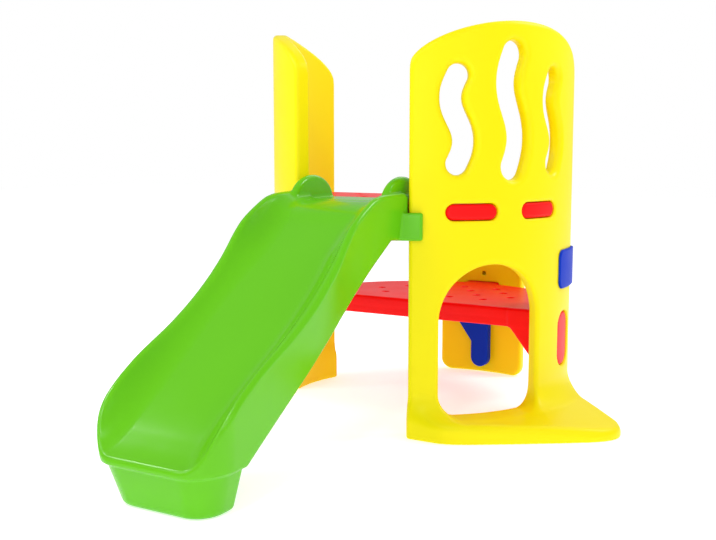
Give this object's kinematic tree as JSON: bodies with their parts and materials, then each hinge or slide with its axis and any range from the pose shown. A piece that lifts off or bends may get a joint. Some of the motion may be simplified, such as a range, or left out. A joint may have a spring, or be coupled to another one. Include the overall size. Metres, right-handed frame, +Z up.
{
  "type": "toddler climbing gym",
  "caption": "Round toddler climbing gym with two curved arched walls, crawl doors, wavy windows, a platform, a back step and a lift-off slide.",
  "frame": {"origin": "bottom centre of the whole object's box, on the floor in the slide's middle plane", "axes": "+Z up, -Y the way the slide runs down, +X to the right-hand wall"},
  "size_m": [1.4512, 1.8996, 1.206],
  "materials": {
    "yellow_plastic": "gloss",
    "red_plastic": "gloss",
    "green_plastic": "gloss",
    "blue_plastic": "gloss",
    "steel": "satin"
  },
  "bodies": {
    "tower": {"right_wall": "yellow_plastic", "left_wall": "yellow_plastic", "back_panel": "yellow_plastic", "platform": "red_plastic", "step": "red_plastic", "right_clip": "blue_plastic", "left_clip": "blue_plastic", "step_leg": "blue_plastic", "platform_screws_right": "steel", "platform_screws_left": "steel", "step_screws_right": "steel", "step_screws_left": "steel", "leg_screws": "steel"},
    "slide": {"slide": "green_plastic"}
  },
  "joints": [
    {"name": "slide_lift", "type": "slide", "parent": "tower", "child": "slide", "axis": [0, 0, 1], "range_m": [0, 0.3]}
  ]
}
